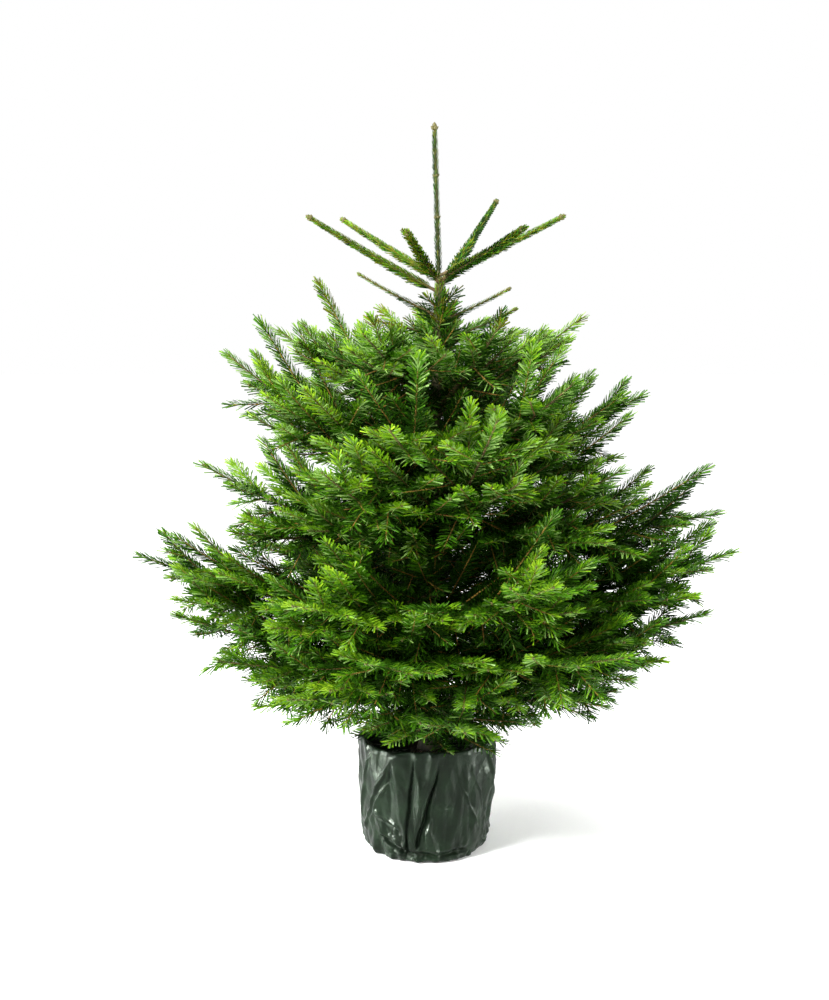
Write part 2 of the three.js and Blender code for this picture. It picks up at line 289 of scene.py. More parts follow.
usualTier = {
    "stagger": 7, "years": 5, "sag": 0.04, "lift": 0.0, "upright": 0.5, "lowerDrop": 0, "lowerFrom": 0.14,
    "needle": 1.0, "thinning": 0.05, "cling": 0.0, "clingFrom": 0.4, "lean": 1.0, "density": 1.0,
    "stem": 3.6, "stemTip": 1.2, "bud": 1.0, "brushes": [], "plume": 1.0,
}
bareTwig = {
    **usualTier, "stagger": 3, "years": 1, "sag": 0.02, "upright": 0.0,
    "needle": 0.52, "thinning": 0.4, "cling": 0.85, "clingFrom": 0.3, "lean": 0.8, "density": 1.2,
    "stem": 1.6, "bud": 1.3,
}
# A limb is (degrees from +X, reach, height of its tip).
tiers = [
    {
        **usualTier, "name": "top", "root": 948, "years": 1, "sag": 0.01, "lift": 0.1, "upright": 0.0,
        "stagger": 4.5, "needle": 0.72, "thinning": 0.4, "cling": 0.9, "clingFrom": 0.55, "lean": 0.62,
        "density": 2.1, "stem": 2.2, "bud": 1.9, "brushes": [2, 5],
        "limbs": [
            (186, 205, 1054), (150, 178, 1050), (250, 143, 1031),
            (60, 208, 1081), (357, 200, 1055), (315, 181, 1037),
        ],
    },
    {**bareTwig, "name": "leftTwig", "root": 905, "limbs": [(184, 129, 964)]},
    {**bareTwig, "name": "rightTwig", "root": 896, "limbs": [(350, 114, 941)]},
    {
        **bareTwig, "name": "neck", "root": 862,
        "needle": 0.75, "cling": 0.5, "clingFrom": 0.6, "limbs": [(12, 129, 906), (195, 118, 895)],
    },
    {
        **usualTier, "name": "second", "root": 745, "years": 3, "sag": 0.03, "lift": 0.1,
        "upright": 0.75, "needle": 0.95, "stem": 3.2, "lowerDrop": 30, "plume": 0.5,
        "limbs": [
            (175, 262, 871), (239, 226, 879), (300, 190, 895),
            (13, 242, 889), (84, 273, 900),
        ],
    },
    {
        **usualTier, "name": "third", "root": 632, "years": 4, "lift": 0.08, "upright": 0.6,
        "lowerDrop": 95, "plume": 1.15,
        "limbs": [
            (180, 342, 833), (256, 300, 745), (316, 285, 805),
            (3, 339, 766), (62, 275, 755), (122, 335, 865),
        ],
    },
    {
        **usualTier, "name": "fourth", "root": 520, "years": 4, "lift": 0.06, "upright": 0.7,
        "lowerDrop": 100, "lowerFrom": 0.34,
        "limbs": [
            (184, 380, 655), (236, 310, 676), (286, 312, 762),
            (340, 312, 658), (359, 467, 572), (87, 370, 670),
        ],
    },
    {
        **usualTier, "name": "fifth", "root": 418, "lift": 0.03, "upright": 0.8,
        "lowerDrop": 55, "lowerFrom": 0.34,
        "limbs": [
            (183, 485, 504), (240, 418, 496), (295, 402, 524),
            (356, 494, 512), (45, 470, 565), (120, 490, 515),
        ],
    },
    {
        **usualTier, "name": "sixth", "root": 338, "lift": -0.04, "upright": 0.3, "lowerDrop": 60,
        "limbs": [
            (193, 425, 420), (255, 389, 412), (313, 426, 406),
            (349, 450, 420), (50, 430, 420), (128, 430, 420),
        ],
    },
    {
        **usualTier, "name": "lowest", "root": 270, "years": 4, "sag": 0.03, "lift": -0.06,
        "upright": 0.25, "thinning": 0.1,
        "limbs": [
            (190, 307, 301), (233, 365, 335), (279, 314, 288),
            (328, 340, 317), (30, 340, 300), (110, 320, 290),
        ],
    },
]


def trunkAxis(height):
    # The trunk leans evenly up to the top whorl, and the leader straightens above it.
    lean = np.interp(
        height,
        [0, growth["topWhorl"], growth["height"]],
        [0, growth["leanAtTopWhorl"], growth["leanAtTip"]],
    )
    return np.stack([lean, 0 * lean, height + 0 * lean], axis=-1)


def chanceFrom(seed):
    # Numbers that look random and are the same on every run.
    state = (seed * 2654435761 + 1) % 4294967296

    def draw(low, high):
        nonlocal state
        state = (state * 1664525 + 1013904223) % 4294967296
        return low + (high - low) * state / 4294967296

    draw(0, 1)
    draw(0, 1)
    return draw


class Shoot:
    # A shoot runs along start + run * t + curl * t * t, for t from 0 to 1.
    def __init__(self, start, run, curl, order, seed, tier, years=None):
        self.start, self.run, self.curl = start, run, curl
        self.order, self.seed, self.tier = order, seed, tier
        self.length = np.linalg.norm(run + curl)
        self.years = years or max(1, round(self.length / growth["yearOfGrowth"]))

    def at(self, t):
        return self.start + self.run * t + self.curl * t * t

    def frameAt(self, t):
        forward = unit(self.run + 2 * t * self.curl)
        side = unit(np.cross(forward, up))
        return forward, side, np.cross(side, forward)

    def fork(self, t, direction, length, seed):
        run = unit(direction) * length
        curl = up * length * growth["tipCurl"]
        return Shoot(self.at(t), run, curl, self.order + 1, seed, self.tier)


def limbTo(start, azimuth, reach, tipHeight, years, seed, tier):
    # A limb sags a little below the straight line to its tip.
    angle = np.radians(azimuth)
    outward = np.array([np.cos(angle), np.sin(angle), 0])
    straight = trunkAxis(tipHeight) + outward * reach - start
    drop = up * 4 * tier["sag"] * np.linalg.norm(straight)
    return Shoot(start, straight - drop, drop, 0, seed, tier, years)


def limbOf(tier, index, seed):
    # A limb leaves the trunk at its tier's root, a little higher or lower than the limbs beside it.
    start = trunkAxis(tier["root"] + tier["stagger"] * ((index * 5) % 7 - 3))
    return limbTo(start, *tier["limbs"][index], tier["years"], seed, tier)


def lowerLimbOf(limb, index):
    # The lower limb turns away from its limb to the left or right by turns, and ends below it.
    tier = limb.tier
    azimuth, reach, tipHeight = tier["limbs"][index]
    turn = growth["lowerTurn"] * (-1 if index % 2 else 1)
    start = limb.at(tier["lowerFrom"])
    tip = (azimuth + turn, reach * growth["lowerReach"], tipHeight - tier["lowerDrop"])
    return limbTo(start, *tip, tier["years"] - 1, limb.seed + 2, tier)


def grow(parent, found):
    # Each year's growth ends in a pair of side shoots, and some forks of a limb also send one up.
    found.append(parent)
    if parent.order == growth["finestOrder"]:
        return
    tier = parent.tier
    chance = chanceFrom(parent.seed)
    for year in range(1, parent.years):
        t = year / parent.years + chance(-growth["forkShift"], growth["forkShift"])
        forward, side = parent.frameAt(t)[:2]
        rest = (1 - t) * parent.length
        seed = (parent.seed * 37 + year * 5) % 1000003
        for hand in (1, -1):
            share = growth["sideRatio"][parent.order] * rest
            length = share * chance(*growth["sideScatter"]) + growth["sideExtra"]
            turn = chance(-growth["sideTurn"], growth["sideTurn"])
            angle = np.radians(growth["sideSpread"][parent.order] + turn)
            rise = tier["lift"] + chance(-growth["riseSpread"], growth["riseSpread"])
            direction = forward * np.cos(angle) + side * hand * np.sin(angle) + up * rise
            hidden = parent.order == 0 and t < growth["bareShare"]
            if length >= growth["shortestShoot"] and not hidden:
                grow(parent.fork(t, direction, length, seed + hand), found)
        stands = chance(0, 1) < tier["upright"] and parent.order == 0 and t > growth["uprightFrom"]
        length = rest * growth["uprightRatio"] * chance(*growth["uprightScatter"]) + growth["uprightExtra"]
        turn = chance(-growth["uprightTurn"], growth["uprightTurn"])
        direction = forward * growth["uprightForward"] + up * growth["uprightRise"] + side * turn
        if stands:
            grow(parent.fork(t, direction, length, seed + 3), found)
    if not tier["cling"]:
        growBetween(parent, found)


def growBetween(parent, found):
    # Finer twigs stand below and beside their parent, between its forks. On a limb, every other one within
    # the plumes' reach rises from its back instead.
    chance = chanceFrom(parent.seed + 500009)
    onLimb = parent.order == 0
    steps = int(parent.length / between["spacing"] * (between["onLimb"] if onLimb else 1))
    for step in range(steps):
        t = between["reach"] * (step + chance(0.3, 0.7)) / steps
        forward, side, above = parent.frameAt(t)
        rest = (1 - t) * parent.length
        turn = np.pi + chance(-between["turn"], between["turn"])  # from straight up
        reach = rest * between["ratio"] * chance(*between["scatter"]) + between["extra"]
        length = min(reach, chance(*between["longest"]))
        angle = np.radians(chance(*between["angle"]))
        order = growth["finestOrder"]
        if onLimb and step % 2 and t < plume["reach"]:
            turn = chance(-plume["turn"], plume["turn"])
            reach = rest * plume["ratio"] + plume["extra"]
            length = parent.tier["plume"] * min(reach, chance(*plume["longest"]))
            angle = np.radians(chance(*plume["angle"]))
            order = growth["finestOrder"] - 1
        direction = forward * np.cos(angle) + (side * np.sin(turn) + above * np.cos(turn)) * np.sin(angle)
        child = parent.fork(t, direction, length, (parent.seed * 41 + step) % 1000003)
        tip = child.at(1)
        clears = tip[2] > between["lowestTip"] + np.hypot(tip[0], tip[1]) / between["lowestTipRun"]
        if length >= growth["shortestShoot"] and clears:
            child.order = order
            found.append(child)


def growTrunkTwigs(found):
    # Short twigs stand round the trunk at the golden angle, and rise more towards the top.
    chance = chanceFrom(77)
    low, high, count = (trunkTwigs[key] for key in ("lowest", "highest", "count"))
    for number in range(count):
        height = low + (high - low) * ((number + chance(0, 1)) / count) ** trunkTwigs["crowding"]
        turn = chance(-trunkTwigs["turn"], trunkTwigs["turn"])
        azimuth = np.radians(trunkTwigs["goldenAngle"] * number + turn)
        tilt = chance(-trunkTwigs["tilt"], trunkTwigs["tilt"])
        slope = np.radians(np.interp(height, *zip(*trunkTwigs["slope"])) + tilt)
        length = np.interp(height, *zip(*trunkTwigs["length"])) * chance(*trunkTwigs["scatter"])
        outward = np.array([np.cos(azimuth), np.sin(azimuth), 0])
        run = (outward * np.cos(slope) + up * np.sin(slope)) * length
        curl = up * length * growth["tipCurl"]
        grow(Shoot(trunkAxis(height), run, curl, 2, 9000 + number, usualTier), found)


def growTree():
    # Every limb with what grows from it, then the trunk's twigs, its neck and the leader.
    shoots = []
    seed = 11
    for tier in tiers:
        for index in range(len(tier["limbs"])):
            seed += 7
            brush = {"clingFrom": 1.2, "thinning": 0.15} if index in tier["brushes"] else {}
            limb = limbOf({**tier, **brush}, index, seed)
            grow(limb, shoots)
            if tier["lowerDrop"]:
                grow(lowerLimbOf(limb, index), shoots)
    growTrunkTwigs(shoots)
    neck = {
        **bareTwig, "needle": 0.75, "thinning": 0, "density": 2.6,
        "cling": 0.2, "clingFrom": 0, "stem": 4.6, "stemTip": 5.0, "bud": 0,
    }
    leader = {
        **bareTwig, "needle": 0.5, "thinning": 0.1, "density": 2.0,
        "cling": 1.0, "clingFrom": -0.1, "stem": 2.0, "bud": 2.1,
    }
    foot, whorl, tip = (trunkAxis(growth[key]) for key in ("neckFoot", "topWhorl", "leaderTip"))
    shoots.append(Shoot(foot, whorl - foot, 0 * up, 0, 5, neck, 1))
    shoots.append(Shoot(whorl, tip - whorl, 0 * up, 0, 3, leader, 1))
    return shoots


twig = {
    "limbFlare": 1.3,
    "rootRadius": 0.85,
    "perLength": 0.004,
    "tipRadius": 0.9,
    "taper": 0.8,
}
shoots = growTree()
starts, runs, curls, lengths, orders = (
    np.array([getattr(s, key) for s in shoots]) for key in ("start", "run", "curl", "length", "order")
)


def ofTier(key):
    # A value of its tier for each shoot.
    return np.array([s.tier[key] for s in shoots])


twigRadii = twig["rootRadius"] + twig["perLength"] * lengths
rootRadii = np.where(orders == 0, twig["limbFlare"] * ofTier("stem"), twigRadii)
tipRadii = np.where(orders == 0, ofTier("stemTip"), twig["tipRadius"])
print("shoots:", len(shoots), "with", round(lengths.sum() / 1000, 1), "m of twig")


def pathPoints(owner, t):
    # Points at t on the shoots numbered in owner, with forward, sideways and upward directions there.
    t = t[..., None]
    points = starts[owner] + runs[owner] * t + curls[owner] * t * t
    forward = unit(runs[owner] + 2 * t * curls[owner])
    side = unit(np.cross(forward, up))
    return points, forward, side, np.cross(side, forward)


def radiusAt(owner, t):
    # The wood tapers from its root to its tip.
    return rootRadii[owner] + (tipRadii - rootRadii)[owner] * t ** twig["taper"]


crown = {
    "lean": 0.019,
    "radius": [
        (200, 330), (270, 370), (400, 460), (520, 510), (640, 430), (800, 350), (880, 200), (950, 90),
    ],
}


def crownDepth(points):
    # Distance from the leaning trunk, as a share of the crown's radius at that height.
    distance = np.hypot(points[..., 0] - crown["lean"] * points[..., 2], points[..., 1])
    return distance / np.interp(points[..., 2], *zip(*crown["radius"]))


# Needles

needle = {
    "length": 25.5,
    "halfWidth": 1.25,
    "perMillimetre": 1.21,
    "betweenShare": 0.6,  # of that number, on the finest shoots
    "depthShare": (0.76, 1.22),  # by the trunk, and outside in the crown
    "bareLimb": 16.0,  # of a limb's foot
    "bareShoot": 3.0,
    "lean": 64,  # degrees from the shoot
    "leanToTip": 12,  # and this much less at its tip
    "leanAcross": 24,  # and above and below it
    "endLean": 20,  # and round its bud
    "clingLean": 22,  # degrees, on the bare twigs
    "leanScatter": 5,
    "turnScatter": 8,
    "shortestOfYear": 0.84,  # share of the longest
    "scatter": (0.88, 1.1),
    "shorterAbove": 0.24,
    "shorterAtBud": 0.25,
    "mostInPiece": 33000,  # of 6 triangles each
}
# Ranks in degrees from straight up: most needles stand to the sides.
needleRanks = np.array([88, -70, 46, -92, 64, -84, 116, -28, 78, -120, 30, -62, 100, -104, 52, -48])
# Leaf kinds: a light and a dark green for each, its roughness and its gloss. From the shaded kind to the
# freshest they step from painted shade to painted light, as well as by the needles' own greens.
needleKinds = {
    "fresh": ("#8fb022", "#709614", 0.45, 0.12),
    "sunlit": ("#6b9414", "#4e7a0b", 0.42, 0.14),
    "mature": ("#40700d", "#2b5307", 0.42, 0.12),
    "shaded": ("#224408", "#132c04", 0.5, 0.06),
    "silver": ("#7fa052", "#5d7f3a", 0.4, 0.2),
    "olive": ("#6a6f14", "#474d0c", 0.45, 0.1),
}
# Corners of one needle: shares of its length, of its half width to the side, and of that above.
needleShape = np.array([
    (0.0, -0.6, 0.0), (0.0, 0.6, 0.0), (1.0, -0.85, 0.0), (1.0, 0.85, 0.0), (0.6, 0.0, 0.8),
])
needleTriangles = np.array([(0, 1, 4), (1, 3, 4), (3, 2, 4), (2, 0, 4)])
needleQuads = np.array([(0, 2, 3, 1)])


def needleMaterial(kind):
    # A fir needle's leathery skin: a waxy cuticle over green, which gives narrow soft glints.
    light, dark, roughness, gloss = needleKinds[kind]
    wax = {"Roughness": roughness, "Specular IOR Level": gloss}
    material, tree, shader, place = newMaterial("waxy fir needle, " + kind, wax)
    mottle(tree, place, shader, 16, 2.0, dark, light, (0.35, 0.65))
    return material


def needleField():
    # Needles stand in ranks along each shoot: most to its sides, some above it, and a few below.
    cling, clingFrom, density = ofTier("cling"), ofTier("clingFrom"), ofTier("density")
    tierLength, thinning = ofTier("needle"), ofTier("thinning")
    bare = np.where(orders == 0, np.minimum(needle["bareLimb"], 0.3 * lengths), needle["bareShoot"])
    share = np.where(orders == growth["finestOrder"], needle["betweenShare"], 1.0)
    share = share * np.interp(crownDepth(starts + 0.5 * runs), (0.2, 0.75), needle["depthShare"])
    counts = np.maximum(3, needle["perMillimetre"] * density * share * (lengths - bare)).astype(int)
    owner = np.repeat(np.arange(len(shoots)), counts)
    number = np.arange(len(owner)) - np.repeat(np.cumsum(counts) - counts, counts)
    random = np.random.default_rng(5)
    begin = (bare / lengths)[owner]
    t = begin + (1 - begin) * (number + random.uniform(0.2, 0.8, len(owner))) / counts[owner]
    points, forward, side, above = pathPoints(owner, t)
    clinging = cling[owner] * easeBetween(clingFrom[owner] - 0.15, clingFrom[owner] + 0.1, t)

    # On bare twigs and steep shoots they stand all round.
    allRound = (cling[owner] > 0) | (forward[:, 2] > 0.5)
    turn = needleRanks[number % len(needleRanks)] + random.normal(0, needle["turnScatter"], len(owner))
    turn = np.radians(np.where(allRound, trunkTwigs["goldenAngle"] * number, turn))
    over = np.cos(turn)  # 1 above the twig and -1 below it
    outward = side * np.sin(turn)[:, None] + above * over[:, None]
    points = points + outward * 0.8 * radiusAt(owner, t)[:, None]

    toTip = (1 - t) * lengths[owner]
    lean = needle["lean"] - needle["leanToTip"] * t - needle["leanAcross"] * np.abs(over)
    lean = lean + random.normal(0, needle["leanScatter"], len(owner))
    lean = (lean - needle["endLean"] * np.exp(-toTip / 12)) * ofTier("lean")[owner]
    lean = np.radians(lean * (1 - clinging) + needle["clingLean"] * clinging)
    direction = forward * np.cos(lean)[:, None] + outward * np.sin(lean)[:, None]

    years = np.array([max(1, s.length / growth["yearOfGrowth"]) for s in shoots])
    least = needle["shortestOfYear"]
    season = least + (1 - least) * np.sin(np.pi * ((t * years[owner]) % 1))
    size = needle["length"] * tierLength[owner]
    size = size * (1 - thinning[owner] * easeBetween(clingFrom[owner] - 0.15, clingFrom[owner] + 0.35, t))
    size = size * season * random.uniform(*needle["scatter"], len(owner))
    size = size * (1 - needle["shorterAbove"] * np.clip(over, 0, 1) * (1 - clinging))
    size = size * (1 - needle["shorterAtBud"] * np.exp(-toTip / 8))

    face = unit(above * 0.8 + outward * 0.5 + random.normal(0, 0.25, (len(owner), 3)))
    across = unit(np.cross(direction, face))
    face = np.cross(across, direction)
    return {
        "points": points, "direction": direction, "across": across, "face": face, "size": size,
        "over": over, "owner": owner, "clinging": clinging, "toTip": toTip,
        "halfWidth": needle["halfWidth"] * np.clip(tierLength[owner] * (1 - 0.2 * clinging), 0.62, 1),
    }


# What makes a needle look young and lit, in points, and the points that each kind takes. Nearness to the
# tip is young growth; the outside, leader, sides, right, above and finest terms, and the height term low
# down, paint light and shade by where a needle stands.
tone = {
    "base": 0.08,
    # Painted light outside in the crown, and painted shade deep inside it
    "outside": (0.46, 0.2, 0.85),  # points, and the shares of the crown's radius where they grow
    # Painted light in the open top, which counts as outside
    "leader": (0.75, 890, 960),  # share that the open top counts as, and the heights where it begins
    "tip": 0.26,
    "tipReach": 34,
    "spray": 0.13,  # scatter from spray to spray
    "needle": 0.14,  # and from needle to needle
    # Painted shade low in the crown; the drop at the top is the top shoots' own darker green
    "height": [(300, -0.1), (480, -0.01), (600, 0.09), (860, 0.09), (920, -0.04)],
    # Painted shade at the crown's sides
    "sides": (-0.07, 150, 350),  # points, and how far out they grow
    # Painted shade on the right, away from the key light
    "right": (-0.22, 120, 400),  # deeper greens on the right
    # Painted light on needles above their twig, and painted shade on those below
    "above": 0.1,
    # Painted shade on the finest twigs, inside the sprays
    "finest": -0.14,
    "clinging": -0.14,
    "mature": 0.3,
    "sunlit": 0.6,
    "fresh": 0.9,
}
# Shares of the lit needles that are silver, or olive in the open top
pale = {
    "turned": 0.35,
    "others": 0.1,
    "height": [(450, -0.08), (800, 0.14)],  # added to both
    "silverBelow": 890,
    "oliveAbove": 880,
    "olive": 0.5,
}


def dealKinds(field):
    # Each spray has its own tone. It is fresher near its tip. It is painted lighter near the outside of
    # the crown, in the open top and above its twig, and painted darker inside, low down, at the sides, on
    # the right and on the finest twigs.
    def rampedPoints(key, values):
        amount, low, high = tone[key]
        return amount * easeBetween(low, high, values)

    random = np.random.default_rng(23)
    owner, points = field["owner"], field["points"]
    aside, height = points[:, 0], points[:, 2]
    depth = np.maximum(crownDepth(points), rampedPoints("leader", height))
    fresh = sum([
        tone["base"] + random.normal(0, tone["spray"], len(shoots))[owner],
        rampedPoints("outside", depth),
        tone["tip"] * np.exp(-field["toTip"] / tone["tipReach"]),
        np.interp(height, *zip(*tone["height"])),
        rampedPoints("sides", np.abs(aside)),
        rampedPoints("right", aside),
        tone["above"] * field["over"],
        tone["clinging"] * field["clinging"],
        tone["finest"] * (orders[owner] == growth["finestOrder"]),
        random.normal(0, tone["needle"], len(owner)),
    ])
    kinds = np.full(len(fresh), "shaded", dtype="<U8")
    # Lit and shaded copies of the needle greens: the more points, the lighter the kind.
    for kind in ("mature", "sunlit", "fresh"):
        kinds[fresh > tone[kind]] = kind
    # Pale undersides show on turned needles, and a painted sheen on a few others; both only on lit
    # needles, and more of them high in the crown.
    silver = np.where(field["over"] < -0.05, pale["turned"], pale["others"])
    silver = silver + np.interp(height, *zip(*pale["height"]))
    lit = fresh > tone["mature"]
    low, high = height < pale["silverBelow"], height > pale["oliveAbove"]
    kinds[lit & low & (random.uniform(0, 1, len(fresh)) < silver)] = "silver"
    kinds[lit & high & (random.uniform(0, 1, len(fresh)) < pale["olive"])] = "olive"
    return kinds


def makeNeedles():
    # The needles of each kind, in pieces of equal number.
    field = needleField()
    kinds = dealKinds(field)
    print("needles:", len(kinds))
    made = []
    for kind in needleKinds:
        material = needleMaterial(kind)
        chosen = np.flatnonzero(kinds == kind)
        for part, index in enumerate(np.array_split(chosen, -(-len(chosen) // needle["mostInPiece"]))):
            along, aside, raised = needleShape.T
            size = field["size"][index, None, None]
            half = field["halfWidth"][index, None, None]
            points = (
                field["points"][index, None]
                + field["direction"][index, None] * size * along[:, None]
                + field["across"][index, None] * half * aside[:, None]
                + field["face"][index, None] * half * raised[:, None]
            )
            first = (np.arange(len(index)) * len(needleShape))[:, None, None]
            faces = [(first + needleTriangles).reshape(-1, 3), (first + needleQuads).reshape(-1, 4)]
            name = "needles_" + kind + "_" + str(part + 1)
            made.append(makePiece(name, points, faces, material, "foliage", smooth=False))
    return made


needlePieces = makeNeedles()
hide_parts(*[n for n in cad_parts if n.startswith("spray_")])


# Twigs, limbs and buds

trunk = {
    "foot": 168.4,
    "footRadius": 16.0,
    "flareRadius": 22.0,
    "flareHeight": 14,
    "radiusAtTopWhorl": 5.5,
    "leaderRadii": (2.8, 1.9),
    "whorls": [270, 338, 418, 520, 632, 745, 862, 948],
    "collar": 0.1,  # share of the radius
    "leaderBuds": [1056, 1122],
    "budSwell": 1.6,
    "plates": 0.9,  # height of the bark's relief at the foot
    "pores": 0.3,
    "roots": 1.6,
    "sides": 48,
    "rings": 420,
    "bark": ("young trunk bark, smooth grey brown", "#57552c", "#35331a", 14),  # 14 mm patches
    # Painted shade at the trunk's foot, under the crown:
    "footShade": 0.35,  # of the bark's colour
}


def barkMaterial(name, light, dark, grain, footShade=1.0):
    # Bark of a young fir: thin and slightly corky, so matt, in two browns. The trunk's foot is darker:
    # painted shade under the crown.
    material, tree, shader, place = newMaterial(name, {"Roughness": 0.8})
    colour = mottle(tree, place, shader, grain, 6.0, dark, light, (0.36, 0.64))
    # Painted shade: the colour is scaled down below 450 mm, to the footShade share at 200 mm and below.
    height = addNode(tree, "SeparateXYZ", {"Vector": place}).outputs["Z"]
    footShadeRamp = addNode(tree, "MapRange", {
        "Value": height, "From Min": 200 * mm, "From Max": 450 * mm, "To Min": footShade, "To Max": 1.0,
    })
    footShadeScaling = {"Vector": colour, "Scale": footShadeRamp.outputs["Result"]}
    shadedBark = addNode(tree, "VectorMath", footShadeScaling, operation="SCALE")
    tree.links.new(shadedBark.outputs["Vector"], shader.inputs["Base Color"])
    pores = addNode(tree, "TexNoise", {"Vector": place, "Scale": 1 / (1.2 * mm), "Detail": 3.0})
    bump = addNode(tree, "Bump", {"Height": pores.outputs["Fac"], "Strength": 0.35, "Distance": 0.4 * mm})
    tree.links.new(bump.outputs["Normal"], shader.inputs["Normal"])
    return material


def shootTubes(which, rings, sides, relief=0):
    # Tubes round the shoots that are True in which, with an uneven skin where relief is more than 0.
    chosen = np.flatnonzero(which)
    t = np.repeat(np.linspace(0, 1, rings)[None], len(chosen), axis=0)
    owner = np.repeat(chosen[:, None], rings, axis=1)
    points, forward, side, above = pathPoints(owner, t)
    angle = (np.arange(sides) / sides * 2 * np.pi)[None, None, :, None]
    rim = above[:, :, None] * np.sin(angle) - side[:, :, None] * np.cos(angle)
    radius = np.repeat(radiusAt(owner, t)[:, :, None], sides, axis=2)
    if relief:
        surface = points[:, :, None] + rim * radius[..., None]
        radius = radius + relief * softNoise(surface / 5.0, 3) + 0.5 * relief * softNoise(surface / 1.8, 4)
    radius[:, -1] *= 0.3
    surface = points[:, :, None] + rim * radius[..., None]
    return surface, closedTubes(rings, sides, len(chosen))


# Each piece's shoots, its bark's colours and patch width, and its tubes' rings, sides and relief
woodPieces = {
    "twigs_young": (orders >= 2, ("new fir bark, orange brown", "#8f6c20", "#5e4816", 9), (7, 6, 0)),
    "twigs_older": (orders == 1, ("older fir bark, brown", "#735820", "#4a3916", 12), (10, 6, 0)),
    "limbs": (orders == 0, ("limb bark, grey brown", "#66552e", "#43391b", 15), (72, 12, 0.35)),
}


def makeTwigs():
    # Limbs, the older twigs that they send out, and finer young ones.
    made = {
        name: makePiece(name, *shootTubes(which, *tube), barkMaterial(*bark), "bark")
        for name, (which, bark, tube) in woodPieces.items()
    }
    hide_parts(*[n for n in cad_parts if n.startswith("bough_")])


bud = {
    "rings": 5,
    "sides": 6,
    "length": 5.5,
    "radius": 2.1,
    "onTwig": 0.7,  # share of that size
}


def budMaterial():
    # Winter buds: overlapping dry scales, so a dull resinous brown.
    material, tree, shader, place = newMaterial("dry bud scales, olive brown", {"Roughness": 0.55})
    mottle(tree, place, shader, 2.5, 3.0, "#38350f", "#625c22", (0, 1))
    return material


def budBodies(centres, directions, length, radius):
    # Egg shapes: the radius goes with sin(pi * u ** 0.8) at a share u of the length.
    rings, sides = bud["rings"], bud["sides"]
    u = np.linspace(0, 1, rings)
    profile = np.sin(np.pi * u ** 0.8)
    profile[[0, -1]] = 0.02
    side = unit(np.cross(directions, up + 1e-3))
    above = np.cross(side, directions)
    angle = (np.arange(sides) / sides * 2 * np.pi)[None, :, None]
    rim = side[:, None] * -np.cos(angle) + above[:, None] * np.sin(angle)
    points = (
        centres[:, None, None]
        + directions[:, None, None] * u[None, :, None, None] * length[:, None, None, None]
        + rim[:, None] * (profile[None, :] * radius[:, None])[:, :, None, None]
    )
    return points, closedTubes(rings, sides, len(centres))


def makeBuds():
    # A bud ends each shoot. More stand round it on limbs and their side shoots, and twice on the leader.
    scale = ofTier("bud") * np.where(orders <= 1, 1.0, bud["onTwig"])
    budded = np.flatnonzero(scale > 0)
    tips, forward = pathPoints(budded, np.ones(len(budded)))[:2]
    centres, directions, sizes = [tips - forward * 2.0], [forward], [scale[budded]]

    def addRound(owner, t, count, spread, share):
        points, forward, side, above = pathPoints(owner, t)
        for turn in np.arange(count) / count * 2 * np.pi + 0.4:
            outward = side * np.cos(turn) + above * np.sin(turn)
            centres.append(points - forward * 3.0)
            directions.append(unit(forward + spread * outward))
            sizes.append(scale[owner] * share)

    strong = np.flatnonzero((orders <= 1) & (scale > 0))
    addRound(strong, np.ones(len(strong)), 3, 1.0, 0.75)
    whole = np.flatnonzero(scale > 1.8)
    addRound(whole, np.ones(len(whole)), 5, 1.3, 0.7)
    leader = np.full(len(trunk["leaderBuds"]), len(shoots) - 1)
    foot, top = growth["topWhorl"], growth["leaderTip"]
    addRound(leader, (np.array(trunk["leaderBuds"]) - foot) / (top - foot), 5, 1.5, 0.62)
    size = np.concatenate(sizes)
    place = np.concatenate(centres), np.concatenate(directions)
    bodies = budBodies(*place, size * bud["length"], size * bud["radius"])
    makePiece("buds", *bodies, budMaterial(), "bark")


makeTwigs()
makeBuds()
print("twigs and buds made")


# Trunk and leader

def trunkProfile(z):
    # An even taper, a flare that dies out over 30 mm, a low collar at each whorl, and a thin leader.
    foot, top = trunk["foot"], growth["topWhorl"]
    share = (z - foot) / (top - foot)
    taper = trunk["footRadius"] + (trunk["radiusAtTopWhorl"] - trunk["footRadius"]) * share
    leader = np.interp(z, [top, growth["height"]], trunk["leaderRadii"])
    radius = np.where(z > top, leader, taper)
    flare = trunk["flareRadius"] - trunk["footRadius"]
    radius = radius + flare * np.exp(-((z - foot) / trunk["flareHeight"]) ** 1.4)
    for whorl in trunk["whorls"]:
        radius = radius + trunk["collar"] * np.minimum(taper, 14) * np.exp(-((z - whorl) / 12) ** 2)
    for buds in trunk["leaderBuds"]:
        radius = radius + trunk["budSwell"] * np.exp(-((z - buds) / 4) ** 2)
    return radius


def makeTrunk():
    # The surface turns through the angle and climbs in height, with bark relief added to the radius.
    rings, sides = trunk["rings"], trunk["sides"]
    z = np.linspace(trunk["foot"], growth["height"] - 2, rings)
    angle = np.arange(sides) / sides * 2 * np.pi
    heights, angles = np.meshgrid(z, angle, indexing="ij")
    radius = trunkProfile(heights)
    outward = np.stack([np.cos(angles), np.sin(angles), 0 * angles], axis=-1)
    surface = trunkAxis(heights) + outward * radius[..., None]
    plates = trunk["plates"] * softNoise(surface / np.array([5.0, 5.0, 16.0]), 7)
    pores = trunk["pores"] * softNoise(surface / np.array([2.4, 2.4, 1.4]), 8)
    roots = trunk["roots"] * np.exp(-(heights - trunk["foot"]) / 22) * np.cos(5 * angles + 0.6)
    radius = radius + (plates + pores) * radius / trunk["footRadius"] + roots
    surface = trunkAxis(heights) + outward * radius[..., None]
    material = barkMaterial(*trunk["bark"], trunk["footShade"])
    piece = makePiece("trunk_bark", surface, closedTubes(rings, sides), material, "bark")
    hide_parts("trunk")


